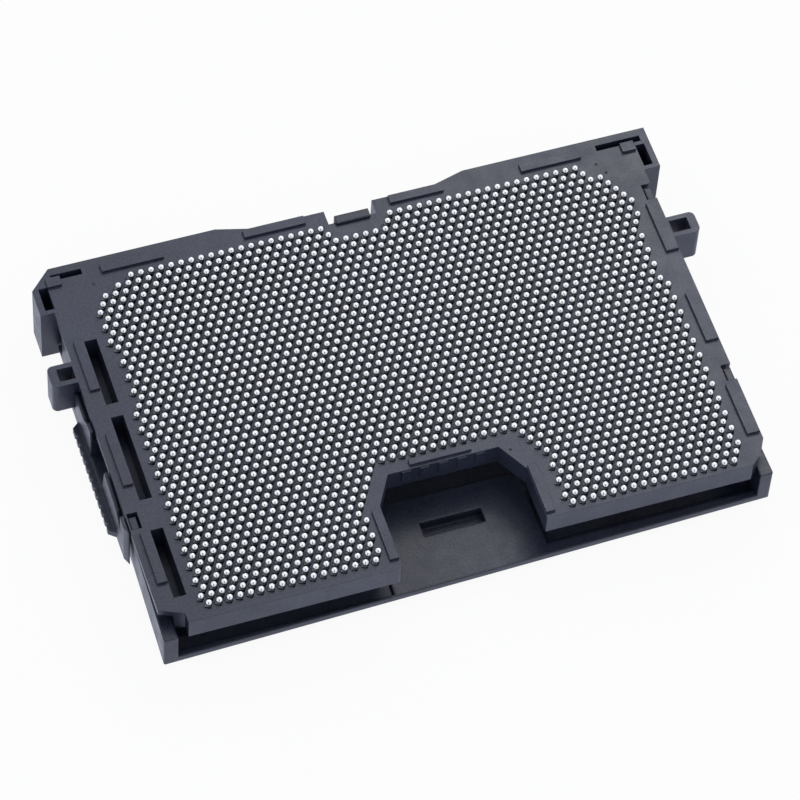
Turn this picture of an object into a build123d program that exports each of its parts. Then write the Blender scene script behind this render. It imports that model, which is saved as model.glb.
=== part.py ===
from build123d import *
import os
from math import sqrt

# One half of a two-part land-grid processor socket, solder-ball side up, seated on its pick-and-place cap.
# Millimetres. The origin is on the cap's flat outer face, under the centre of the ball field.
# +X runs along the rows of balls, +Y points away from the notched front edge, +Z points out of the balls.

# Ball field
PITCH = 0.9906                       # ball to ball along a row
ROWS = 44
HALF_ROW = 26.5                      # outermost ball of the longest row, in pitches from the centre
BALL_D = 0.60
BALL_FLAT = 0.04                     # height the ball loses in its solder joint
ROWS_PER_BANK = 4
FIELD_LEFT_EDGE = (                  # in pitches from the centre and in rows from the front row
    (-22.4, 43.5), (-26.0, 41.0), (-26.75, 39.5), (-26.75, 34.5), (-26.25, 33.5),
    (-26.25, 26.5), (-26.75, 26.0), (-26.75, -0.5),
)
FIELD_RIGHT_EDGE = (
    (25.75, 0.5), (26.75, 2.5), (26.75, 26.0), (26.25, 26.5), (26.25, 33.5),
    (26.75, 34.5), (26.5, 38.0), (24.75, 41.0), (22.6, 43.5),
)
FIELD_NOTCH_SIDE = (1.46, 2.07)      # front notch's sides to the ball field, left and right
FIELD_NOTCH_FAR = 1.22
FIELD_NOTCH_CUT = ((2.23, 3.86), (1.73, 3.00))
FIELD_HOOK_SIDE = 0.25               # far notch's sides to the ball field
FIELD_HOOK_NEAR = 1.86

# Housing, heights
FACE_H = 6.75                        # solder-side face above the cap's outer face
FLANGE_T = 0.70                      # end flanges that overhang the cap's end walls
DECK_T = 2.40                        # deck that holds the contacts
POST_FOOT = 0.05                     # posts' feet above the cap's outer face
EAR_DEPTH = 4.00
PAD_H = 0.28                         # stand-off pads

# Housing, plan
LEFT_MARGIN = 4.10                   # outermost ball centres to the housing's edges
RIGHT_MARGIN = 2.55
FAR_MARGIN = 3.01
FRONT_MARGIN = 1.36
FRONT_STEP = 1.35                    # the right half of the front edge stands back
WAIST = 0.92                         # the middle of the far edge stands back
WAIST_LEFT = (-13.10, -9.60)
WAIST_RIGHT = (8.30, 11.80)
LEFT_CORNER = (2.30, 1.05, 2.00)     # front left corner, along X, then along Y at each end
RIGHT_CORNER = ((0.80, 1.95), (2.55, 1.05))
SKIRT_R = 0.45                       # rounded corner of the front edge at the notch
LEFT_POST = (1.35, 5.05)             # far corner posts, reach past the end flange and length
RIGHT_POST = (1.62, 4.85)
POST_CHAMFER = 2.10

# Notch in the front edge
NOTCH_X = (-7.70, 6.60)
NOTCH_DEPTH = 10.00
NOTCH_CORNER = (1.75, 3.05)          # slanted inner corners, along X and Y
COMB_COUNT = 5                       # upright ribs on the notch's inner wall
COMB_PITCH = 1.80
COMB_W = 0.90
COMB_OUT = 0.14
COMB_DROP = 0.12                     # face to the ribs' tops
COMB_H = 1.60

# Notch in the far edge, for the cap's hook
HOOK_NOTCH_X = (-2.50, 2.30)
HOOK_NOTCH_DEPTH = 1.58

# Frame under the deck, which stands on the cap
FRAME_IN = 0.50                      # outermost ball centres to the side walls' inner faces
FRAME_FAR_IN = 0.62
FRAME_FAR_T = 1.15
FRAME_FRONT = 3.00                   # front edge to the side walls' front ends

# Contacts, in slots along the 60 degree lines of the ball field
SLOT_W = 0.58
SLOT_END = 0.45                      # slot past its last ball
CONTACT_T = 0.12
CONTACT_END = 0.35
PADDLE_W = 0.46
TIP_DROP = 0.90                      # contact tips below the deck
LINES_PER_BANK = 10

# Slots and windows in the face
CORE_DEPTH = 3.20
CORE_X = 1.75                        # left edge to the long slots
CORE_W = 1.20
CORE_RUNS = ((-16.90, -9.40), (-6.00, 3.50), (5.00, 12.45))
L_DEPTH = 1.80
L_WIDTH = 0.65
L_INSET = 0.80                       # far edge to the slots beside it
L_LEFT_RUN = (0.75, 3.75)            # left edge to the slot's two ends
L_RIGHT_RUN = (-0.85, 3.70)
LEG_DEPTH = 3.20
LEG_W = 0.90
LEG_INSET = 0.60                     # the posts' outer faces to their slots
LEG_END = 0.45
LEG_LENGTH = 2.55
WINDOW = (1.00, 1.80)
WINDOW_INSET = 0.15
LEFT_WINDOWS = (-8.90,)
RIGHT_WINDOWS = (-8.90, 13.10)

# Stand-off pads
PAD_W = 0.95
PAD_INSET = 0.75                     # left edge to its pads
LEFT_PADS = ((-15.20, -9.50), (-4.20, 1.80), (6.80, 12.60))
RIGHT_PAD_W = 1.25
RIGHT_PAD_INSET = 0.10
RIGHT_PADS = ((-15.20, -9.40), (-4.20, 1.60), (6.70, 12.60))
FAR_PAD_Y = 1.10                     # outermost ball centres to the far pads
FAR_PAD_W = 0.92
FAR_PAD_INSET = 0.08                 # the waist's edge to the pads beside it
OUTER_FAR_PADS = ((-24.80, -18.70), (17.20, 23.30))
INNER_FAR_PADS = ((-10.70, -4.60), (3.90, 9.30))
LEFT_CORNER_PAD = ((0.15, 1.55), (1.20, 2.25))
RIGHT_CORNER_PAD = ((0.02, 1.37), (1.36, 2.44))
NOTCH_PAD_X = (-3.70, 2.30)
NOTCH_PAD_Y = (0.30, 0.90)
NOTCH_SIDE_PAD = (0.08, 0.95)
LEFT_NOTCH_PAD = (-18.80, -13.30)
RIGHT_NOTCH_PAD = (-18.00, -12.60)

# Ears
LEFT_EAR_REACH = 2.47
RIGHT_EAR_REACH = 2.75
EAR_Y = (8.20, 10.60)
EAR_WALL = 0.85
EAR_SIDE = 0.50
EAR_R = 0.55

# Pick-and-place cap, heights
FLOOR_T = 0.80                       # floor that carries the housing's frame
TUB_H = 1.00                         # underside of the rim
STEP_H = 1.30                        # ledge between rim and floor
RIM_H = 1.70
WALL_H = 5.00

# Pick-and-place cap, plan
CAP_LEFT_INSET = 0.20                # end walls inside the housing's ends
CAP_RIGHT_INSET = 0.10
CAP_LEFT_FLARE = 0.30                # end walls spread towards the front corners
CAP_RIGHT_FLARE = 0.20
CAP_FLARE_Y = -9.10
CAP_WALL_T = 1.05
CAP_WALL_FAR = 14.80
BODY_GAP = 0.10                      # housing to the insides of the end walls
CAP_FRONT_OUT = 0.31                 # front edge past the housing's, at the left end
CAP_FRONT_SKEW = 1.29                # the front edge's right end stands back by this much
CAP_CORNER_R = 0.18
RIM_LEFT_IN = 0.40                   # housing's front edge to the rim's inner edge
RIM_RIGHT_IN = 0.33
CAP_FAR_OUT = 0.35                   # far edge past the middle of the housing's far edge
TUB_INSET = 0.70
TUB_FRONT = 2.05                     # rim's front edge to the tub's
TUB_FAR_IN = 0.20
TUB_WALL_T = 0.35
FRAME_GAP = 0.10
POST_GAP = 0.30
CAP_WINDOW_X = (-3.60, 2.40)
CAP_WINDOW_Y = (-14.20, -12.65)
CAP_WINDOW_FLOOR = 0.50
POCKET_INSET = 0.50                  # notch's sides to the ends of the cap's pockets
LATCH_DROP = 0.28                    # housing's face to the tops of the latches in its windows
LATCH_SLIT = (0.20, 0.26)            # slits at the latches' inner and far sides
LATCH_GAP = 0.08                     # at their other sides

# Finger grip on the cap's left end
GRIP_REACH = 0.45                    # housing's left edge to the panel's outer face
GRIP_T = 0.35
GRIP_BOTTOM = 1.30
GRIP_FOOT = (10.00, 2.50)            # low run under the ear, far end and height
GRIP_FAR_TOP = ((8.00, 5.30), (4.90, 5.30), (3.90, 6.10))
GRIP_DIP = (-0.92, 2.75)             # opening through the panel and the end wall behind it
GRIP_DIP_TOP = (6.35, 6.30)
GRIP_DIP_H = 2.25
GRIP_DIP_SLANT = 1.00
GRIP_NEAR_TOP = ((-6.00, 5.80), (-6.90, 4.60))
TAB_Y = (-9.10, -7.10)               # free tab at the panel's near end
TAB_H = 6.60
TAB_CHAMFER = 0.80
SHELF_OUT = 0.68                     # ribbed shelf along the panel
SHELF_T = 0.78
SHELF_Y = (-5.90, 6.95)
SHELF_CHAMFER = 0.55
GROOVES = 11
GROOVE_PITCH = 1.01
GROOVE_Y = -4.65
GROOVE_W = 0.50
GROOVE_DEPTH = 0.20

# Hook at the cap's far side
HOOK_X = (-1.80, 1.60)
HOOK_T = 0.50
HOOK_GAP = 0.08
HOOK_LIP = 0.32                      # lip over the housing's face
HOOK_LIP_H = 0.30

# Worked-out places
ROW_PITCH = PITCH * sqrt(3) / 2
LAST_ROW = ROWS - 1
FIELD_X = HALF_ROW * PITCH
FIELD_Y = LAST_ROW / 2 * ROW_PITCH
LEFT = -FIELD_X - LEFT_MARGIN
RIGHT = FIELD_X + RIGHT_MARGIN
FAR = FIELD_Y + FAR_MARGIN
WAIST_Y = FAR - WAIST
FRONT_LEFT = -FIELD_Y - FRONT_MARGIN
FRONT_RIGHT = FRONT_LEFT + FRONT_STEP
NOTCH_FAR = FRONT_LEFT + NOTCH_DEPTH
HOOK_SEAT = WAIST_Y - HOOK_NOTCH_DEPTH
DECK_H = FACE_H - DECK_T
FLANGE_H = FACE_H - FLANGE_T
TIP_H = DECK_H - TIP_DROP
CAP_LEFT = LEFT + CAP_LEFT_INSET
CAP_RIGHT = RIGHT - CAP_RIGHT_INSET
WELL_LEFT = CAP_LEFT + CAP_WALL_T
WELL_RIGHT = CAP_RIGHT - CAP_WALL_T
BODY_LEFT = WELL_LEFT + BODY_GAP
BODY_RIGHT = WELL_RIGHT - BODY_GAP
FRAME_NEAR = FIELD_Y + FRAME_FAR_IN
POST_LEFT = LEFT - LEFT_POST[0]
POST_RIGHT = RIGHT + RIGHT_POST[0]
LEFT_POST_Y = FAR - LEFT_POST[1]
RIGHT_POST_Y = FAR - RIGHT_POST[1]
PANEL_X = LEFT - GRIP_REACH


def block(x, y, z):
    """Box between pairs of limits."""
    size = (x[1] - x[0], y[1] - y[0], z[1] - z[0])
    corner = (Align.MIN, Align.MIN, Align.MIN)
    return Pos(x[0], y[0], z[0]) * Box(*size, align=corner)


def outline(points, rounded=(), radius=0):
    """Flat face with the given corners, some of them rounded."""
    face = make_face(Polyline(*points, close=True))
    if rounded:
        corners = []
        for x, y in rounded:
            corners.append(face.vertices().sort_by_distance((x, y, 0))[0])
        face = fillet(corners, radius)
    return face


def plate(face, z):
    """Flat face raised between two heights."""
    return Pos(0, 0, z[0]) * extrude(face, z[1] - z[0], dir=(0, 0, 1))


def place(column, row):
    """Place of a lattice point, in millimetres."""
    return column * PITCH, (row - LAST_ROW / 2) * ROW_PITCH


def field_outline():
    """Outline of the ball field, which keeps clear of both notches."""
    left = NOTCH_X[0] - FIELD_NOTCH_SIDE[0]
    right = NOTCH_X[1] + FIELD_NOTCH_SIDE[1]
    far = NOTCH_FAR + FIELD_NOTCH_FAR
    left_cut, right_cut = FIELD_NOTCH_CUT
    gap = (HOOK_NOTCH_X[0] - FIELD_HOOK_SIDE, HOOK_NOTCH_X[1] + FIELD_HOOK_SIDE)
    gap_y = HOOK_SEAT - FIELD_HOOK_NEAR
    left_edge = [place(*corner) for corner in FIELD_LEFT_EDGE]
    right_edge = [place(*corner) for corner in FIELD_RIGHT_EDGE]
    far_y = right_edge[-1][1]
    notch = [
        (left, left_edge[-1][1]), (left, far - left_cut[1]), (left + left_cut[0], far),
        (right - right_cut[0], far), (right, far - right_cut[1]), (right, right_edge[0][1])]
    hook = [(gap[1], far_y), (gap[1], gap_y), (gap[0], gap_y), (gap[0], far_y)]
    return left_edge + notch + right_edge + hook


def in_field(column, row):
    """Whether a lattice point lies inside the outline of the ball field."""
    x, y = place(column, row)
    inside = False
    last = FIELD[-1]
    for corner in FIELD:
        if (corner[1] > y) != (last[1] > y):
            part = (y - corner[1]) / (last[1] - corner[1])
            if x < corner[0] + part * (last[0] - corner[0]):
                inside = not inside
        last = corner
    return inside


def row_columns(row):
    """Columns of the balls in one row; every other row is shifted by half a pitch."""
    shift = row % 2 / 2
    reach = range(-ROWS, ROWS)
    return [step + shift for step in reach if in_field(step + shift, row)]


def contact_runs():
    """First and last row of each unbroken 60 degree line of balls, from left to right."""
    runs = []
    for line in range(-2 * ROWS, ROWS):
        first = None
        for row in range(ROWS + 1):
            filled = row < ROWS and in_field(line + row / 2, row)
            if filled and first is None:
                first = row
            if not filled and first is not None:
                runs.append((line, first, row - 1))
                first = None
    return runs


def slot_face(run):
    """Slot of one line of contacts, as a flat face."""
    line, first, last = run
    x, y = place(line + (first + last) / 4, (first + last) / 2)
    length = (last - first) * PITCH + 2 * SLOT_END
    return Pos(x, y) * Rot(0, 0, 60) * Rectangle(length, SLOT_W)


def contact_strip(run):
    """Contacts of one line: paddles under the balls and a web against the slot's left side."""
    line, first, last = run
    x, y = place(line + last / 2, last)
    x += CONTACT_END / 2
    y += CONTACT_END * sqrt(3) / 2
    length = (last - first) * PITCH + 2 * CONTACT_END
    web = -SLOT_W / 2
    section = Polyline(
        (web, TIP_H), (web + CONTACT_T, TIP_H), (web + CONTACT_T, FACE_H - CONTACT_T),
        (web + PADDLE_W, FACE_H - CONTACT_T), (web + PADDLE_W, FACE_H), (web, FACE_H), close=True)
    end = Plane(origin=(x, y, 0), x_dir=(sqrt(3) / 2, -0.5, 0), z_dir=(-0.5, -sqrt(3) / 2, 0))
    return extrude(end * make_face(section), length)


def solder_ball(column, row):
    """Ball on its paddle, as a three-sided stud as wide and as high as the ball.
    A few flat faces keep the two thousand balls light."""
    x, y = place(column, row)
    side = BALL_D / 2
    low = side / sqrt(3)
    top = (x, y, FACE_H + BALL_D - BALL_FLAT)
    base = [(x - side, y - low, FACE_H), (x + side, y - low, FACE_H), (x, y + 2 * low, FACE_H)]
    faces = [Face(Wire.make_polygon(base))]
    for start, end in zip(base, base[1:] + base[:1]):
        faces.append(Face(Wire.make_polygon([start, end, top])))
    return Solid(Shell(faces))


def housing_plan():
    """Outline of the housing's solder-side face."""
    cut_x, cut_near, cut_far = LEFT_CORNER
    left, right = NOTCH_X
    slant_x, slant_y = NOTCH_CORNER
    points = [
        (LEFT + cut_x, FRONT_LEFT), (left, FRONT_LEFT), (left, NOTCH_FAR - slant_y),
        (left + slant_x, NOTCH_FAR), (right - slant_x, NOTCH_FAR), (right, NOTCH_FAR - slant_y),
        (right, FRONT_RIGHT), (RIGHT - RIGHT_CORNER[0][1], FRONT_RIGHT),
        (RIGHT - RIGHT_CORNER[0][0], FRONT_RIGHT + RIGHT_CORNER[1][1]),
        (RIGHT, FRONT_RIGHT + RIGHT_CORNER[1][0]), (RIGHT, FAR), (WAIST_RIGHT[1], FAR),
        (WAIST_RIGHT[0], WAIST_Y), (HOOK_NOTCH_X[1], WAIST_Y), (HOOK_NOTCH_X[1], HOOK_SEAT),
        (HOOK_NOTCH_X[0], HOOK_SEAT), (HOOK_NOTCH_X[0], WAIST_Y), (WAIST_LEFT[1], WAIST_Y),
        (WAIST_LEFT[0], FAR), (POST_LEFT + POST_CHAMFER, FAR),
        (LEFT, FAR - POST_CHAMFER + LEFT_POST[0]), (LEFT, FRONT_LEFT + cut_far),
        (LEFT + cut_x, FRONT_LEFT + cut_near),
    ]
    return outline(points, points[1:2], SKIRT_R)


def corner_posts():
    """Posts at the two far corners, the left one chamfered."""
    left = outline([
        (POST_LEFT, LEFT_POST_Y), (BODY_LEFT, LEFT_POST_Y), (BODY_LEFT, FAR),
        (POST_LEFT + POST_CHAMFER, FAR), (POST_LEFT, FAR - POST_CHAMFER)])
    height = (POST_FOOT, FACE_H)
    right = block((BODY_RIGHT, POST_RIGHT), (RIGHT_POST_Y, FAR), height)
    return [plate(left, height), right]


def frame_walls():
    """Walls under the deck's ends and far side, down to the cap's floor."""
    height = (FLOOR_T, DECK_H)
    side = (FRONT_LEFT + FRAME_FRONT, FRAME_NEAR + FRAME_FAR_T)
    far = (FRAME_NEAR, FRAME_NEAR + FRAME_FAR_T)
    return [
        block((BODY_LEFT, -FIELD_X - FRAME_IN), side, height),
        block((FIELD_X + FRAME_IN, BODY_RIGHT), side, height),
        block((BODY_LEFT, HOOK_NOTCH_X[0]), far, height),
        block((HOOK_NOTCH_X[1], BODY_RIGHT), far, height),
    ]


def ear(root, tip):
    """Ear outside an end flange, with its hole; it is joined to the flange's edge only."""
    side = 1 if tip > root else -1
    points = [(root, EAR_Y[0]), (tip, EAR_Y[0]), (tip, EAR_Y[1]), (root, EAR_Y[1])]
    face = outline(points, points[1:3], EAR_R)
    hole_x = sorted((root + side * FRAME_GAP, tip - side * EAR_WALL))
    hole_y = (EAR_Y[0] + EAR_SIDE, EAR_Y[1] - EAR_SIDE)
    hole = outline([(x, y) for x, y in zip(
        (hole_x[0], hole_x[1], hole_x[1], hole_x[0]), (hole_y[0], hole_y[0], hole_y[1], hole_y[1]))])
    return plate(face - hole, (FACE_H - EAR_DEPTH, FACE_H))


def pads():
    """Stand-off pads around the ball field."""
    left = (LEFT + PAD_INSET, LEFT + PAD_INSET + PAD_W)
    right = (RIGHT - RIGHT_PAD_INSET - RIGHT_PAD_W, RIGHT - RIGHT_PAD_INSET)
    near = FIELD_Y + FAR_PAD_Y
    places = [(left, run) for run in LEFT_PADS]
    places += [(right, run) for run in RIGHT_PADS]
    places += [(run, (near, near + FAR_PAD_W)) for run in OUTER_FAR_PADS]
    places += [(run, (near, WAIST_Y - FAR_PAD_INSET)) for run in INNER_FAR_PADS]
    (x0, x1), (y0, y1) = LEFT_CORNER_PAD
    places.append(((LEFT + x0, LEFT + x1), (FAR - y1, FAR - y0)))
    (x0, x1), (y0, y1) = RIGHT_CORNER_PAD
    places.append(((RIGHT - x1, RIGHT - x0), (FAR - y1, FAR - y0)))
    places.append((NOTCH_PAD_X, (NOTCH_FAR + NOTCH_PAD_Y[0], NOTCH_FAR + NOTCH_PAD_Y[1])))
    inner, outer = NOTCH_SIDE_PAD
    places.append(((NOTCH_X[0] - outer, NOTCH_X[0] - inner), LEFT_NOTCH_PAD))
    places.append(((NOTCH_X[1] + inner, NOTCH_X[1] + outer), RIGHT_NOTCH_PAD))
    return [block(x, y, (FACE_H, FACE_H + PAD_H)) for x, y in places]


def comb():
    """Upright ribs on the inner wall of the front notch."""
    middle = sum(NOTCH_X) / 2
    ribs = []
    for index in range(COMB_COUNT):
        x = middle + (index - (COMB_COUNT - 1) / 2) * COMB_PITCH
        top = FACE_H - COMB_DROP
        ribs.append(block((x - COMB_W / 2, x + COMB_W / 2), (NOTCH_FAR - COMB_OUT, NOTCH_FAR),
                          (top - COMB_H, top)))
    return ribs


def windows():
    """Latch windows through the end flanges, as pairs of limits along X and Y."""
    left = (LEFT + WINDOW_INSET, LEFT + WINDOW_INSET + WINDOW[0])
    right = (RIGHT - WINDOW[0], RIGHT)
    places = [(left, (y, y + WINDOW[1])) for y in LEFT_WINDOWS]
    places += [(right, (y, y + WINDOW[1])) for y in RIGHT_WINDOWS]
    return places


def face_recesses():
    """Blind slots and open windows in the housing's face."""
    core_x = (LEFT + CORE_X, LEFT + CORE_X + CORE_W)
    cuts = [block(core_x, run, (FACE_H - CORE_DEPTH, FACE_H)) for run in CORE_RUNS]
    far = (FAR - L_INSET - L_WIDTH, FAR - L_INSET)
    deep = (FACE_H - L_DEPTH, FACE_H)
    cuts.append(block((LEFT + L_LEFT_RUN[0], LEFT + L_LEFT_RUN[1]), far, deep))
    cuts.append(block((RIGHT - L_RIGHT_RUN[1], RIGHT - L_RIGHT_RUN[0]), far, deep))
    deep = (FACE_H - LEG_DEPTH, FACE_H)
    for x, y in ((POST_LEFT + LEG_INSET, LEFT_POST_Y), (POST_RIGHT - LEG_INSET - LEG_W, RIGHT_POST_Y)):
        cuts.append(block((x, x + LEG_W), (y + LEG_END, y + LEG_END + LEG_LENGTH), deep))
    cuts += [block(x, y, (FLANGE_H, FACE_H)) for x, y in windows()]
    return cuts


def housing(runs):
    """Moulded housing with its slots for the contacts."""
    plan = housing_plan()
    reach = (FRONT_LEFT - 1, FAR + 1)
    length = reach[1] - reach[0]
    middle = (reach[0] + reach[1]) / 2
    body = Pos((BODY_LEFT + BODY_RIGHT) / 2, middle) * Rectangle(BODY_RIGHT - BODY_LEFT, length)
    deck = (plan & body) - [slot_face(run) for run in runs]
    ends = plan - body
    whole = plate(deck, (DECK_H, FACE_H))
    whole += [plate(face, (FLANGE_H, FACE_H)) for face in ends.faces()]
    whole += corner_posts() + frame_walls() + comb()
    whole += [ear(LEFT, LEFT - LEFT_EAR_REACH), ear(RIGHT, RIGHT + RIGHT_EAR_REACH)]
    whole -= face_recesses()
    whole += pads()
    return whole


def cap_pockets():
    """Room for the housing inside the cap: a ledge along the rim and a floor behind it."""
    left = NOTCH_X[0] - POCKET_INSET
    right = NOTCH_X[1] + POCKET_INSET
    near_left = FRONT_LEFT + RIM_LEFT_IN
    near_right = FRONT_RIGHT + RIM_RIGHT_IN
    far = FRAME_NEAR + FRAME_FAR_T + FRAME_GAP
    plan = outline([
        (WELL_LEFT, near_left), (left, near_left), (left, NOTCH_FAR), (right, NOTCH_FAR),
        (right, near_right), (WELL_RIGHT, near_right), (WELL_RIGHT, far), (WELL_LEFT, far)])
    near_tub = FRONT_LEFT - CAP_FRONT_OUT + TUB_FRONT + TUB_WALL_T
    middle = ((WELL_LEFT + WELL_RIGHT) / 2, (near_tub + far) / 2)
    floor = plan & Pos(*middle) * Rectangle(WELL_RIGHT - WELL_LEFT, far - near_tub)
    return [plate(plan, (STEP_H, WALL_H)), plate(floor, (FLOOR_T, WALL_H))]


def side_plate(profile, x):
    """Flat face drawn along Y and Z, raised between two places along X."""
    upright = Plane(origin=(x[0], 0, 0), x_dir=(0, 1, 0), z_dir=(1, 0, 0))
    return extrude(upright * profile, x[1] - x[0])


def grip_panel():
    """Panel on the cap's left end, with its opening and the free tab at its near end."""
    near, far = GRIP_DIP
    tab_near, tab_far = TAB_Y
    foot_y, foot_h = GRIP_FOOT
    root_y = GRIP_NEAR_TOP[-1][0]
    points = [
        (tab_near, GRIP_BOTTOM), (foot_y, GRIP_BOTTOM), (foot_y, foot_h), (GRIP_FAR_TOP[0][0], foot_h),
        *GRIP_FAR_TOP, (far, GRIP_DIP_TOP[1]), (far, GRIP_DIP_H), (near, GRIP_DIP_H),
        (near - GRIP_DIP_SLANT, GRIP_DIP_TOP[0]), *GRIP_NEAR_TOP, (tab_far, GRIP_NEAR_TOP[-1][1]),
        (tab_far, TAB_H), (tab_near, TAB_H),
    ]
    profile = make_face(Polyline(*points, close=True))
    inner = PANEL_X + GRIP_T
    root = profile & Pos((root_y + foot_y) / 2, WALL_H / 2) * Rectangle(foot_y - root_y, WALL_H)
    chamfer = outline([
        (PANEL_X, tab_near), (PANEL_X, tab_near + TAB_CHAMFER), (inner, tab_near)])
    panel = side_plate(profile, (PANEL_X, inner)) - plate(chamfer, (GRIP_BOTTOM, TAB_H))
    return panel + side_plate(root, (inner, CAP_LEFT))


def grip_shelf():
    """Shelf along the panel, with grooves across its outer edge."""
    near, far = SHELF_Y
    outer = PANEL_X - SHELF_OUT
    face = outline([
        (PANEL_X, near), (PANEL_X, far), (outer, far - SHELF_CHAMFER), (outer, near + SHELF_CHAMFER)])
    for index in range(GROOVES):
        y = GROOVE_Y + index * GROOVE_PITCH
        face -= outline([(outer, y - GROOVE_W / 2), (outer, y + GROOVE_W / 2), (outer + GROOVE_DEPTH, y)])
    return plate(face, (GRIP_BOTTOM, GRIP_BOTTOM + SHELF_T))


def latches():
    """Latches on the end walls, one in each window of the housing."""
    slit_x, slit_y = LATCH_SLIT
    blocks = []
    for x, y in windows():
        if x[0] < 0:
            across = (x[0] + LATCH_GAP, x[1] - slit_x)
        else:
            across = (x[0] + slit_x, CAP_RIGHT)
        blocks.append(block(across, (y[0] + LATCH_GAP, y[1] - slit_y), (WALL_H, FACE_H - LATCH_DROP)))
    return blocks


def far_hook():
    """Hook that rises from the cap's floor through the far notch and lies over the housing's face."""
    near = HOOK_SEAT + HOOK_GAP
    top = FACE_H + HOOK_LIP_H
    upright = block(HOOK_X, (near, near + HOOK_T), (0, top))
    lip = block(HOOK_X, (HOOK_SEAT - HOOK_LIP, near + HOOK_T), (FACE_H, top))
    return upright + lip


def cap():
    """Pick-and-place cap: tub, rim, end walls, notch platform, finger grip and far hook."""
    near_left = FRONT_LEFT - CAP_FRONT_OUT
    near_right = near_left + CAP_FRONT_SKEW
    far = WAIST_Y + CAP_FAR_OUT
    front_left = CAP_LEFT - CAP_LEFT_FLARE
    front_right = CAP_RIGHT + CAP_RIGHT_FLARE
    corners = [
        (front_left, near_left), (front_right, near_right), (CAP_RIGHT, CAP_FLARE_Y), (CAP_RIGHT, far),
        (CAP_LEFT, far), (CAP_LEFT, CAP_FLARE_Y)]
    rim = outline(corners, corners[:2], CAP_CORNER_R)
    ends = []
    for x in ((front_left, WELL_LEFT), (WELL_RIGHT, front_right)):
        reach = CAP_WALL_FAR - near_left
        strip = Pos(sum(x) / 2, CAP_WALL_FAR - reach / 2) * Rectangle(x[1] - x[0], reach)
        ends.append(plate(rim & strip, (TUB_H, WALL_H)))
    tub = block((CAP_LEFT + TUB_INSET, CAP_RIGHT - TUB_INSET), (near_left + TUB_FRONT, far - TUB_FAR_IN),
                (0, RIM_H))
    whole = plate(rim, (TUB_H, RIM_H)) + tub
    whole += ends
    whole -= cap_pockets()
    height = (0, WALL_H)
    whole -= block((CAP_LEFT, BODY_LEFT + BODY_GAP), (LEFT_POST_Y - POST_GAP, far), height)
    whole -= block((BODY_RIGHT - BODY_GAP, CAP_RIGHT), (RIGHT_POST_Y - POST_GAP, far), height)
    whole -= block(CAP_WINDOW_X, CAP_WINDOW_Y, (CAP_WINDOW_FLOOR, RIM_H))
    whole -= block((CAP_LEFT, WELL_LEFT), GRIP_DIP, (GRIP_DIP_H, WALL_H))
    whole += [grip_panel(), grip_shelf(), far_hook(), *latches()]
    return whole


def banks(count, size):
    """First and last index of each bank."""
    return [(first, min(first + size, count) - 1) for first in range(0, count, size)]


def save(name, shape):
    """Write one node."""
    shape.label = name
    export_step(shape, f"parts/{name}.step", write_pcurves=False)


os.makedirs("parts", exist_ok=True)
FIELD = field_outline()
contact_lines = contact_runs()
save("housing", housing(contact_lines))
save("pick_and_place_cap", cap())
for number, (first, last) in enumerate(banks(ROWS, ROWS_PER_BANK), start=1):
    balls = [solder_ball(column, row) for row in range(first, last + 1) for column in row_columns(row)]
    save(f"solder_balls_{number:02d}", Compound(children=balls))
for number, (first, last) in enumerate(banks(len(contact_lines), LINES_PER_BANK), start=1):
    strips = [contact_strip(run) for run in contact_lines[first:last + 1]]
    save(f"contact_strips_{number:02d}", Compound(children=strips))
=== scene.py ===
from math import cos, pi, sin, sqrt

import bpy
import numpy as np
from mathutils import Matrix, Vector


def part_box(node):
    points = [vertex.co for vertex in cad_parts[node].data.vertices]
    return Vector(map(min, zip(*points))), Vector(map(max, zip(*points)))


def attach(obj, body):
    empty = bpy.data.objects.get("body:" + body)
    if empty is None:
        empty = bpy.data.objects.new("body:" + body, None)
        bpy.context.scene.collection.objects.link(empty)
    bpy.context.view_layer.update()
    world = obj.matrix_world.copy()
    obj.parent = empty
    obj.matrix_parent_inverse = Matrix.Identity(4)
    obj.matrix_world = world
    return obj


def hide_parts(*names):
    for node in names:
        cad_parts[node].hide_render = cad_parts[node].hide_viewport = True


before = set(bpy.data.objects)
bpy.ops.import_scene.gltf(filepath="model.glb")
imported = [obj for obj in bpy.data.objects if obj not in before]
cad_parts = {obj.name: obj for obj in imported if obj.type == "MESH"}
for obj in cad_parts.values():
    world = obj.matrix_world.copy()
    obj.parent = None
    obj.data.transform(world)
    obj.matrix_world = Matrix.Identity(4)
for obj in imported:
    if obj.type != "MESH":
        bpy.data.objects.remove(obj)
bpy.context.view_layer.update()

# Lengths in this script are in millimetres, and become metres only in a mesh, a lamp or a camera.
MM = 0.001

# Ball field, on the same grid as the frame
PITCH = 0.9906
ROWS = 44
ROWS_PER_BANK = 4
LINES_PER_BANK = 10
BALL_D = 0.65
BALL_FLAT = 0.09
FIELD_OUTLINE = (
    (-26.75, -0.5), (-9.25, -0.5), (-9.25, 7.0), (-7.0, 11.5), (7.0, 11.5), (8.75, 8.0),
    (8.75, 0.5), (25.75, 0.5), (26.75, 2.5), (26.75, 26.0), (26.25, 26.5), (26.25, 33.5),
    (26.75, 34.5), (26.5, 38.0), (24.75, 41.0), (22.6, 43.5), (3.0, 43.5), (2.5, 41.5),
    (-2.5, 41.5), (-3.0, 43.5), (-22.4, 43.5), (-26.0, 41.0), (-26.75, 39.5), (-26.75, 34.5),
    (-26.25, 33.5), (-26.25, 26.5), (-26.75, 26.0),
)

# Contacts, in slots along the 60 degree lines
SLOT_W = 0.58
PADDLE_W = 0.50
PADDLE_L = 0.68
PADDLE_T = 0.08
WEB_T = 0.08
WEB_L = 0.34
BEAM_BOW = 0.22
BEAM_STEPS = 5
BEAM_TAPER = 0.5

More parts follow.
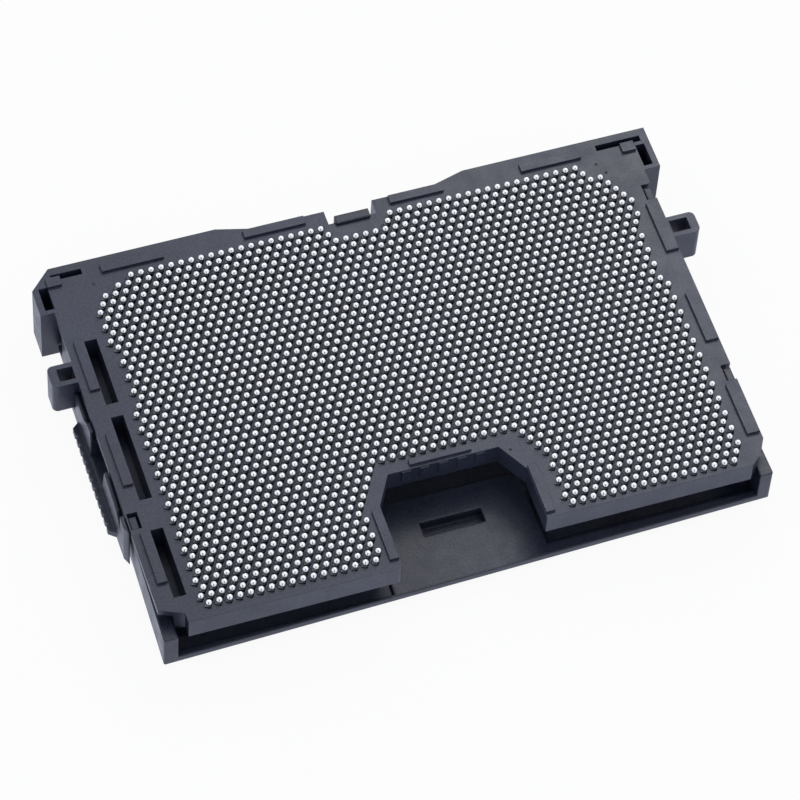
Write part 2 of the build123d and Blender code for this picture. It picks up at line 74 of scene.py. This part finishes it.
# Wavy ribs between the slots, as offsets from the ball on their right, with their width and rise
RIB_LINE = (((-0.51, -0.07), 0.20, 0.05), ((-0.47, 0.20), 0.24, 0.07), ((-0.32, 0.43), 0.12, 0.005))
RIB_DROP = 0.30
RIB_SHOULDER = 0.5

ROW_PITCH = PITCH * sqrt(3) / 2
LAST_ROW = ROWS - 1
DIAGONAL = Vector((0.5, sqrt(3) / 2))
ACROSS = Vector((sqrt(3) / 2, -0.5))


def level(node, corner):
    """Lowest (0) or highest (1) level of a node of the frame, in millimetres."""
    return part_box(node)[corner][2] / MM


FACE = level("solder_balls_01", 0)
TIP = level("contact_strips_01", 0)


def place(column, row):
    """Place of a lattice point."""
    return column * PITCH, (row - LAST_ROW / 2) * ROW_PITCH


def in_field(column, row):
    """Whether a lattice point lies inside the outline of the ball field."""
    inside = False
    last = FIELD_OUTLINE[-1]
    for corner in FIELD_OUTLINE:
        if (corner[1] > row) != (last[1] > row):
            part = (row - corner[1]) / (last[1] - corner[1])
            if column < corner[0] + part * (last[0] - corner[0]):
                inside = not inside
        last = corner
    return inside


def row_columns(row):
    """Columns of the balls in one row."""
    shift = row % 2 / 2
    return [step + shift for step in range(-ROWS, ROWS) if in_field(step + shift, row)]


def contact_runs():
    """First and last row of each unbroken 60 degree line of balls, from left to right."""
    runs = []
    for line in range(-2 * ROWS, ROWS):
        first = None
        for row in range(ROWS + 1):
            filled = row < ROWS and in_field(line + row / 2, row)
            if filled and first is None:
                first = row
            if not filled and first is not None:
                runs.append((line, first, row - 1))
                first = None
    return runs


def repeat(name, template, places, smooth=False):
    """One mesh object with a copy of a template (points, faces) at each place."""
    points, faces = template
    points = np.array(points)
    count = len(points)
    copies = [points + (x, y, 0) for x, y in places]
    all_faces = []
    for index in range(len(places)):
        base = index * count
        all_faces += [[base + corner for corner in face] for face in faces]
    mesh = bpy.data.meshes.new(name)
    mesh.from_pydata((np.concatenate(copies) * MM).tolist(), [], all_faces)
    mesh.polygons.foreach_set("use_smooth", [smooth] * len(mesh.polygons))
    mesh.update()
    piece = bpy.data.objects.new(name, mesh)
    bpy.context.collection.objects.link(piece)
    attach(piece, "root")
    return piece


def loft(sections, closed=True):
    """Skin over sections with the same number of points."""
    points = [point for section in sections for point in section]
    size = len(sections[0])
    faces = []
    for index in range(len(sections) - 1):
        low = index * size
        for corner in range(size if closed else size - 1):
            nearby = (corner + 1) % size
            faces.append([low + corner, low + nearby, low + size + nearby, low + size + corner])
    return points, faces


def joined(*templates):
    """One template out of several."""
    points = []
    faces = []
    for more_points, more_faces in templates:
        base = len(points)
        points += list(more_points)
        faces += [[base + corner for corner in face] for face in more_faces]
    return points, faces


def slab(along, across, height):
    """Box in the slot's own directions, between pairs of limits."""
    sections = []
    for z in height:
        corners = [(along[0], across[0]), (along[1], across[0]), (along[1], across[1]), (along[0], across[1])]
        sections.append([tuple(DIAGONAL * a + ACROSS * s) + (z,) for a, s in corners])
    points, faces = loft(sections)
    faces += [[3, 2, 1, 0], [4, 5, 6, 7]]
    return points, faces


# Solder balls

BALL_SIDES = 16
BALL_RINGS = 8


def ball_template():
    """Round ball whose foot is flattened by its joint."""
    radius = BALL_D / 2
    centre = FACE + radius - BALL_FLAT
    lowest = pi - np.arccos(1 - BALL_FLAT / radius)
    rings = []
    for index in range(1, BALL_RINGS + 1):
        angle = lowest * index / BALL_RINGS
        z = centre + radius * cos(angle)
        ring = radius * sin(angle)
        turn = [2 * pi * side / BALL_SIDES for side in range(BALL_SIDES)]
        rings.append([(ring * cos(t), ring * sin(t), z) for t in turn])
    points, faces = loft(rings[::-1])
    top = len(points)
    points.append((0, 0, centre + radius))
    first = (BALL_RINGS - 1) * BALL_SIDES
    for side in range(BALL_SIDES):
        faces.append([first + side, first + (side + 1) % BALL_SIDES, top])
    return points, faces


def make_balls(material):
    template = ball_template()
    for number, first in enumerate(range(0, ROWS, ROWS_PER_BANK), start=1):
        rows = range(first, min(first + ROWS_PER_BANK, ROWS))
        places = [place(column, row) for row in rows for column in row_columns(row)]
        piece = repeat(f"round_balls_{number:02d}", template, places, smooth=True)
        piece.data.materials.append(material)
        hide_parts(f"solder_balls_{number:02d}")


# Contacts

def contact_template():
    """Stamped contact: a paddle under the ball, a web against the slot's side and a bowed beam below."""
    side = -SLOT_W / 2
    half = PADDLE_L / 2
    chamfer = PADDLE_W / 4
    outline = [
        (-half, side), (half, side), (half, side + PADDLE_W - chamfer), (half - chamfer, side + PADDLE_W),
        (chamfer - half, side + PADDLE_W), (-half, side + PADDLE_W - chamfer)]
    sections = []
    for z in (FACE - PADDLE_T, FACE):
        sections.append([tuple(DIAGONAL * a + ACROSS * s) + (z,) for a, s in outline])
    points, faces = loft(sections)
    count = len(outline)
    faces.append(list(range(count))[::-1])
    faces.append(list(range(count, 2 * count)))
    paddle = (points, faces)
    deck = FACE - 2 * (FACE - TIP) / 3
    web = slab((-WEB_L / 2, WEB_L / 2), (side, side + WEB_T), (deck, FACE - PADDLE_T))
    beam = []
    for index in range(BEAM_STEPS + 1):
        part = index / BEAM_STEPS
        z = deck + (TIP - deck) * part
        s = side + BEAM_BOW * sin(pi * part / 2)
        a = WEB_L / 2 * (1 - BEAM_TAPER * part)
        corners = [(-a, s), (a, s), (a, s + WEB_T), (-a, s + WEB_T)]
        beam.append([tuple(DIAGONAL * b + ACROSS * c) + (z,) for b, c in corners])
    beam_points, beam_faces = loft(beam)
    beam_faces.append([len(beam_points) - 4 + corner for corner in range(4)])
    return joined(paddle, web, (beam_points, beam_faces))


def make_contacts(material):
    template = contact_template()
    runs = contact_runs()
    for number, first in enumerate(range(0, len(runs), LINES_PER_BANK), start=1):
        places = []
        for line, low, high in runs[first:first + LINES_PER_BANK]:
            places += [place(line + row / 2, row) for row in range(low, high + 1)]
        piece = repeat(f"contacts_{number:02d}", template, places)
        piece.data.materials.append(material)
        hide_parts(f"contact_strips_{number:02d}")


# Wavy ribs of the housing

def rib_template():
    """One period of the wavy rib, from one ball to the next along the diagonal."""
    step = DIAGONAL * PITCH
    line = [Vector(point) for point, width, rise in RIB_LINE]
    line.append(line[0] + step)
    sizes = [(width, rise) for point, width, rise in RIB_LINE]
    sizes.append(sizes[0])
    before = [line[-2] - step] + line[:-1]
    after = line[1:] + [line[1] + step]
    sections = []
    for point, back, ahead, (width, rise) in zip(line, before, after, sizes):
        run = (ahead - back).normalized()
        side = Vector((run.y, -run.x)) * width / 2
        shoulder = side * RIB_SHOULDER
        left = point - side
        right = point + side
        sections.append([
            (left.x, left.y, FACE - RIB_DROP), (left.x, left.y, FACE),
            (point.x - shoulder.x, point.y - shoulder.y, FACE + rise),
            (point.x + shoulder.x, point.y + shoulder.y, FACE + rise),
            (right.x, right.y, FACE), (right.x, right.y, FACE - RIB_DROP)])
    return loft(sections, closed=False)


def make_ribs(material):
    places = []
    for row in range(ROWS):
        for column in row_columns(row):
            if in_field(column - 1, row) and in_field(column + 0.5, row + 1):
                places.append(place(column, row))
    piece = repeat("slot_ribs", rib_template(), places)
    piece.data.materials.append(material)


# Pin marks in the flat face, drawn as near-black discs: painted shade standing in for shallow dimples

PIN_MARKS = ((-25.9, 18.55), (24.5, 18.5), (25.1, 17.3), (5.8, -10.4))
PIN_MARK_D = 0.30
PIN_MARK_SIDES = 16
PIN_MARK_RINGS = ((1.0, 0), (0.8, 0.012), (0.6, 0.004))


def pin_mark_template():
    """Flat round mark with a raised rim; its near-black colour is painted shade for a shallow dimple."""
    sections = []
    for share, rise in PIN_MARK_RINGS:
        ring = share * PIN_MARK_D / 2
        turns = [2 * pi * side / PIN_MARK_SIDES for side in range(PIN_MARK_SIDES)]
        sections.append([(ring * cos(turn), ring * sin(turn), FACE + rise) for turn in turns])
    points, faces = loft(sections)
    faces.append(list(range(len(points) - PIN_MARK_SIDES, len(points))))
    return points, faces


def make_pin_marks(material):
    piece = repeat("pin_marks", pin_mark_template(), PIN_MARKS)
    piece.data.materials.append(material)


# Materials, with the sizes of their noises in millimetres

FLOW_SIZE = 9.0
SPECK_SIZE = 0.24
SPECK_SHARE = 0.6
MOTTLE_PLACES = (0.36, 0.64)
GLOSS_PATCH_SIZE = 1.6
GRAIN_STRENGTH = 0.5
EDGE_SAMPLES = 4
PLASTIC_SPECULAR = 0.5

SOLDER_TARNISH_SIZE = 0.5
SOLDER_GLOSS_SIZE = 0.25
SOLDER_DENT_SIZE = 0.12
SOLDER_DENT = 0.01
SOLDER_DENT_STRENGTH = 0.3

CONTACT_TARNISH_SIZE = 0.3
CONTACT_GLOSS_SIZE = 0.15


def shader(name):
    """New material, its Principled shader and its node tree."""
    material = bpy.data.materials.new(name)
    material.use_nodes = True
    tree = material.node_tree
    return material, tree.nodes["Principled BSDF"], tree


def noise(tree, size, detail=3.0):
    """Noise in the object's own space, with a grain of the given size in millimetres."""
    space = tree.nodes.new("ShaderNodeTexCoord")
    texture = tree.nodes.new("ShaderNodeTexNoise")
    texture.inputs["Scale"].default_value = 1 / (size * MM)
    texture.inputs["Detail"].default_value = detail
    tree.links.new(space.outputs["Object"], texture.inputs["Vector"])
    return texture.outputs["Fac"]


def ramp(tree, value, low, high, places=(0.3, 0.7)):
    """Colours or greys between two ends of a value."""
    node = tree.nodes.new("ShaderNodeValToRGB")
    for element, position, colour in zip(node.color_ramp.elements, places, (low, high)):
        element.position = position
        element.color = (*colour, 1)
    tree.links.new(value, node.inputs["Fac"])
    return node.outputs["Color"]


def grey(value):
    return (value, value, value)



def moulded_plastic(name, dark, light, rough, grain, grain_depth, edge):
    """Matt moulded plastic with flow marks, specks, eroded grain and softly rounded edges."""
    material, principled, tree = shader(name)
    mottle = tree.nodes.new("ShaderNodeMix")
    mottle.inputs["Factor"].default_value = SPECK_SHARE
    tree.links.new(noise(tree, FLOW_SIZE, 4.0), mottle.inputs["A"])
    tree.links.new(noise(tree, SPECK_SIZE, 2.0), mottle.inputs["B"])
    tree.links.new(ramp(tree, mottle.outputs["Result"], dark, light, MOTTLE_PLACES),
                   principled.inputs["Base Color"])
    patch = noise(tree, GLOSS_PATCH_SIZE, 5.0)
    tree.links.new(ramp(tree, patch, grey(rough[0]), grey(rough[1])), principled.inputs["Roughness"])
    bevel = tree.nodes.new("ShaderNodeBevel")
    bevel.samples = EDGE_SAMPLES
    bevel.inputs["Radius"].default_value = edge * MM
    bump = tree.nodes.new("ShaderNodeBump")
    bump.inputs["Strength"].default_value = GRAIN_STRENGTH
    bump.inputs["Distance"].default_value = grain_depth * MM
    tree.links.new(noise(tree, grain, 4.0), bump.inputs["Height"])
    tree.links.new(bevel.outputs["Normal"], bump.inputs["Normal"])
    tree.links.new(bump.outputs["Normal"], principled.inputs["Normal"])
    principled.inputs["Specular IOR Level"].default_value = PLASTIC_SPECULAR
    return material


def solder():
    """Bright reflowed solder, faintly uneven."""
    material, principled, tree = shader("solder")
    principled.inputs["Metallic"].default_value = 1.0
    tree.links.new(ramp(tree, noise(tree, SOLDER_TARNISH_SIZE), (0.80, 0.80, 0.79), (0.93, 0.93, 0.92)),
                   principled.inputs["Base Color"])
    tree.links.new(ramp(tree, noise(tree, SOLDER_GLOSS_SIZE), grey(0.16), grey(0.28)),
                   principled.inputs["Roughness"])
    bump = tree.nodes.new("ShaderNodeBump")
    bump.inputs["Strength"].default_value = SOLDER_DENT_STRENGTH
    bump.inputs["Distance"].default_value = SOLDER_DENT * MM
    tree.links.new(noise(tree, SOLDER_DENT_SIZE), bump.inputs["Height"])
    tree.links.new(bump.outputs["Normal"], principled.inputs["Normal"])
    return material


def contact_metal():
    """Dull plated strip metal."""
    material, principled, tree = shader("contact_metal")
    principled.inputs["Metallic"].default_value = 1.0
    tree.links.new(ramp(tree, noise(tree, CONTACT_TARNISH_SIZE), (0.15, 0.155, 0.16), (0.28, 0.285, 0.29)),
                   principled.inputs["Base Color"])
    tree.links.new(ramp(tree, noise(tree, CONTACT_GLOSS_SIZE), grey(0.35), grey(0.55)),
                   principled.inputs["Roughness"])
    return material


# Light, floor and camera

CAMERA_PLACE = (-90.694, -224.245, 358.096)
CAMERA_RIGHT = (0.94927, -0.31163, 0.04211)
CAMERA_UP = (0.23571, 0.79379, 0.56066)
CAMERA_LENS = 205.456
SENSOR = 36.0
CAMERA_SHIFT = (-0.00065, 0.00112)
CAMERA_CLIP = (0.01, 20)


def make_camera():
    data = bpy.data.cameras.new("camera")
    data.lens = CAMERA_LENS
    data.sensor_width = SENSOR
    data.shift_x, data.shift_y = CAMERA_SHIFT
    data.clip_start, data.clip_end = CAMERA_CLIP
    camera = bpy.data.objects.new("camera", data)
    right = Vector(CAMERA_RIGHT)
    up = Vector(CAMERA_UP)
    turn = Matrix((right, up, right.cross(up))).transposed().to_4x4()
    camera.matrix_world = Matrix.Translation(Vector(CAMERA_PLACE) * MM) @ turn
    bpy.context.collection.objects.link(camera)
    bpy.context.scene.camera = camera


KEY_PLACE = (260, 330, 430)
KEY_SIZE = 260
KEY_POWER = 0.8


def make_lamp(name, where, size, power):
    """Soft square lamp that faces the object."""
    data = bpy.data.lights.new(name, "AREA")
    data.size = size * MM
    data.energy = power
    lamp = bpy.data.objects.new(name, data)
    spot = Vector(where) * MM
    lamp.matrix_world = Matrix.Translation(spot) @ spot.to_track_quat("Z", "Y").to_matrix().to_4x4()
    bpy.context.collection.objects.link(lamp)


FLOOR_COLOUR = (0.82, 0.82, 0.83)
FLOOR_ROUGHNESS = 0.9
# Bluish glow that mirror rays see on the floor: a painted reflection on the object
FLOOR_REFLECTION_GLOW = (0.92, 0.97, 1.15)
# Share of plain white for camera rays, and of painted glow for mirror rays
FLOOR_WHITE_AND_GLOW = 0.93
FLOOR_REACH = 1.5
FLOOR_LEVEL = -0.03 * MM


def make_floor():
    """White floor that keeps a faint shadow, is clear from below, and glows bluish white for mirror rays: a
    painted reflection on the object.
    """
    mesh = bpy.data.meshes.new("floor")
    corners = ((-1, -1), (1, -1), (1, 1), (-1, 1))
    mesh.from_pydata([(x * FLOOR_REACH, y * FLOOR_REACH, FLOOR_LEVEL) for x, y in corners],
                     [], [(0, 1, 2, 3)])
    floor = bpy.data.objects.new("floor", mesh)
    bpy.context.collection.objects.link(floor)
    material, principled, tree = shader("floor")
    principled.inputs["Base Color"].default_value = (*FLOOR_COLOUR, 1)
    principled.inputs["Roughness"].default_value = FLOOR_ROUGHNESS
    white = tree.nodes.new("ShaderNodeEmission")
    path = tree.nodes.new("ShaderNodeLightPath")
    # Mirror rays see the floor glow bluish white, a painted reflection; camera rays see plain white
    tree.links.new(ramp(tree, path.outputs["Is Glossy Ray"], grey(1.0), FLOOR_REFLECTION_GLOW, (0.0, 1.0)),
                   white.inputs["Color"])
    direct = tree.nodes.new("ShaderNodeMath")
    direct.operation = "MAXIMUM"
    tree.links.new(path.outputs["Is Camera Ray"], direct.inputs[0])
    tree.links.new(path.outputs["Is Glossy Ray"], direct.inputs[1])
    share = tree.nodes.new("ShaderNodeMath")
    share.operation = "MULTIPLY"
    share.inputs[1].default_value = FLOOR_WHITE_AND_GLOW
    tree.links.new(direct.outputs["Value"], share.inputs[0])
    mix = tree.nodes.new("ShaderNodeMixShader")
    tree.links.new(share.outputs["Value"], mix.inputs["Fac"])
    tree.links.new(principled.outputs["BSDF"], mix.inputs[1])
    tree.links.new(white.outputs["Emission"], mix.inputs[2])
    clear = tree.nodes.new("ShaderNodeBsdfTransparent")
    sides = tree.nodes.new("ShaderNodeMixShader")
    tree.links.new(tree.nodes.new("ShaderNodeNewGeometry").outputs["Backfacing"], sides.inputs["Fac"])
    tree.links.new(mix.outputs["Shader"], sides.inputs[1])
    tree.links.new(clear.outputs["BSDF"], sides.inputs[2])
    tree.links.new(sides.outputs["Shader"], tree.nodes["Material Output"].inputs["Surface"])
    floor.data.materials.append(material)


# Dim strip of the surroundings: the way it faces, its half width, where it starts and its darkness
DARK_SIDE = (-0.375, -0.927)
DARK_HALF_WIDTH = 0.27
DARK_FACING = 0.22
DARK_SHARE = 0.94
WORLD_COLOUR = (0.93, 0.965, 1.06)
WORLD_LEVEL = 0.80


def make_world():
    """Even white surroundings, whose mirror image has one dim strip at the front."""
    world = bpy.data.worlds.new("studio")
    world.use_nodes = True
    tree = world.node_tree
    background = tree.nodes["Background"]
    background.inputs["Color"].default_value = (*WORLD_COLOUR, 1)
    space = tree.nodes.new("ShaderNodeTexCoord")

    def dot(direction):
        node = tree.nodes.new("ShaderNodeVectorMath")
        node.operation = "DOT_PRODUCT"
        node.inputs[1].default_value = direction
        tree.links.new(space.outputs["Generated"], node.inputs[0])
        return node.outputs["Value"]

    def combine(operation, first, second):
        node = tree.nodes.new("ShaderNodeMath")
        node.operation = operation
        for socket, value in zip(node.inputs, (first, second)):
            if isinstance(value, (int, float)):
                socket.default_value = value
            else:
                tree.links.new(value, socket)
        return node.outputs["Value"]

    front = dot((*DARK_SIDE, 0))
    side = combine("ABSOLUTE", dot((-DARK_SIDE[1], DARK_SIDE[0], 0)), 0)
    narrow = combine("LESS_THAN", side, DARK_HALF_WIDTH)
    facing = combine("GREATER_THAN", front, DARK_FACING)
    path = tree.nodes.new("ShaderNodeLightPath")
    mirrored = combine("MULTIPLY", path.outputs["Is Glossy Ray"], combine("MULTIPLY", narrow, facing))
    glossy = combine("MULTIPLY", path.outputs["Is Glossy Ray"], 1.0 - WORLD_LEVEL)
    level_now = combine("ADD", glossy, WORLD_LEVEL)
    left_over = combine("SUBTRACT", 1.0, combine("MULTIPLY", mirrored, DARK_SHARE))
    dimmed = combine("MULTIPLY", level_now, left_over)
    seen = combine("MAXIMUM", dimmed, path.outputs["Is Camera Ray"])
    tree.links.new(seen, background.inputs["Strength"])
    bpy.context.scene.world = world


def dress(node, material):
    """Give a node of the frame a material."""
    data = bpy.data.objects[node].data
    data.materials.clear()
    data.materials.append(material)


housing_plastic = moulded_plastic(
    "housing_plastic", dark=(0.010, 0.013, 0.026), light=(0.030, 0.037, 0.062),
    rough=(0.30, 0.42), grain=0.12, grain_depth=0.03, edge=0.06)
cap_plastic = moulded_plastic(
    "cap_plastic", dark=(0.007, 0.009, 0.019), light=(0.021, 0.026, 0.046),
    rough=(0.30, 0.42), grain=0.16, grain_depth=0.03, edge=0.30)
dress("housing", housing_plastic)
dress("pick_and_place_cap", cap_plastic)
make_balls(solder())
make_contacts(contact_metal())
make_ribs(housing_plastic)
# Near-black pin marks: painted shade for the hollows of shallow dimples
make_pin_marks(moulded_plastic(
    "pin_mark_painted_shade", dark=(0.002, 0.002, 0.003), light=(0.004, 0.004, 0.006),
    rough=(0.60, 0.75), grain=0.12, grain_depth=0.03, edge=0.01))

make_camera()
make_floor()
make_world()
make_lamp("key", KEY_PLACE, KEY_SIZE, KEY_POWER)

bpy.context.scene.view_settings.view_transform = "Standard"
